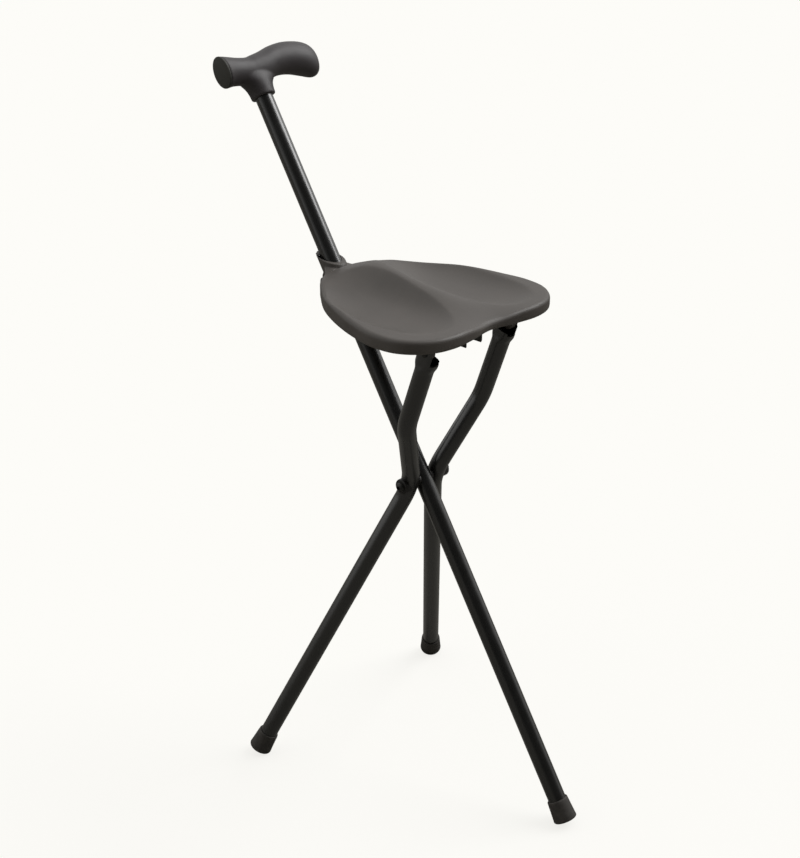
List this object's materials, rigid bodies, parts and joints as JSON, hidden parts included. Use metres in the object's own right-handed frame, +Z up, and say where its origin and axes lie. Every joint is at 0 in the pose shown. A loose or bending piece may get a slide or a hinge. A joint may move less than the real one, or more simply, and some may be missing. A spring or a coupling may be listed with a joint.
{
  "type": "walking stick seat",
  "caption": "Folding walking stick seat: a straight stick with a moulded handle, two bent tube legs and a saddle seat that open into a three-legged stool.",
  "frame": {"origin": "on the ground under the middle of the open object's bounding box", "axes": "+Z up, +X from the handle towards the front foot, +Y towards the right-hand leg"},
  "size_m": [0.5126, 0.3226, 0.7852],
  "materials": {
    "black_paint": "gloss black stove enamel on steel tube",
    "seat_plastic": "satin warm grey moulding with a fine texture",
    "handle_plastic": "matte dark grey moulding",
    "cap_plastic": "matte near-black moulding",
    "black_plastic": "satin black moulding",
    "ferrule_rubber": "matte dark grey rubber",
    "fastener_steel": "zinc-plated steel",
    "nylon": "natural nylon"
  },
  "bodies": {
    "shaft_frame": {"main_shaft": "black_paint", "handle": "handle_plastic", "handle_cap": "cap_plastic", "handle_screw": "fastener_steel", "front_ferrule": "ferrule_rubber", "front_foot_disc": "fastener_steel", "pivot_bolt": "fastener_steel", "pivot_cap_nut": "fastener_steel", "pivot_sleeve": "fastener_steel", "left_spacer": "black_plastic", "right_spacer": "black_plastic", "stop_rivet": "fastener_steel"},
    "left_leg": {"left_leg": "black_paint", "left_leg_bush": "nylon", "left_saddle_washer": "black_plastic", "left_seat_pin": "fastener_steel", "left_ferrule": "ferrule_rubber", "left_foot_disc": "fastener_steel"},
    "right_leg": {"right_leg": "black_paint", "right_leg_bush": "nylon", "right_saddle_washer": "black_plastic", "right_seat_pin": "fastener_steel", "right_ferrule": "ferrule_rubber", "right_foot_disc": "fastener_steel"},
    "seat": {"seat_shell": "seat_plastic", "shaft_clip": "black_plastic", "clip_screw_front": "fastener_steel", "clip_screw_rear": "fastener_steel", "left_hinge_pin": "fastener_steel", "right_hinge_pin": "fastener_steel"},
    "collar": {"slide_collar": "seat_plastic"}
  },
  "joints": [
    {"name": "leg_fold", "type": "hinge", "parent": "shaft_frame", "child": "left_leg", "pos_m": [0.02486, 0, 0.35227], "axis": [0, -1, 0], "range_deg": [0, 51.7]},
    {"name": "right_leg_fold", "type": "hinge", "parent": "shaft_frame", "child": "right_leg", "pos_m": [0.02486, 0, 0.35227], "axis": [0, -1, 0], "range_deg": [0, 51.7]},
    {"name": "seat_fold", "type": "hinge", "parent": "left_leg", "child": "seat", "pos_m": [0.08833, 0, 0.53454], "axis": [0, 1, 0], "range_deg": [0, 103.4]},
    {"name": "collar_tilt", "type": "hinge", "parent": "seat", "child": "collar", "pos_m": [-0.10371, 0, 0.55377], "axis": [0, -1, 0], "range_deg": [0, 51.7]}
  ],
  "couplings": [
    {"joint": "right_leg_fold", "follows": "leg_fold", "ratio": 1},
    {"joint": "seat_fold", "follows": "leg_fold", "ratio": 2},
    {"joint": "collar_tilt", "follows": "leg_fold", "ratio": 1}
  ]
}
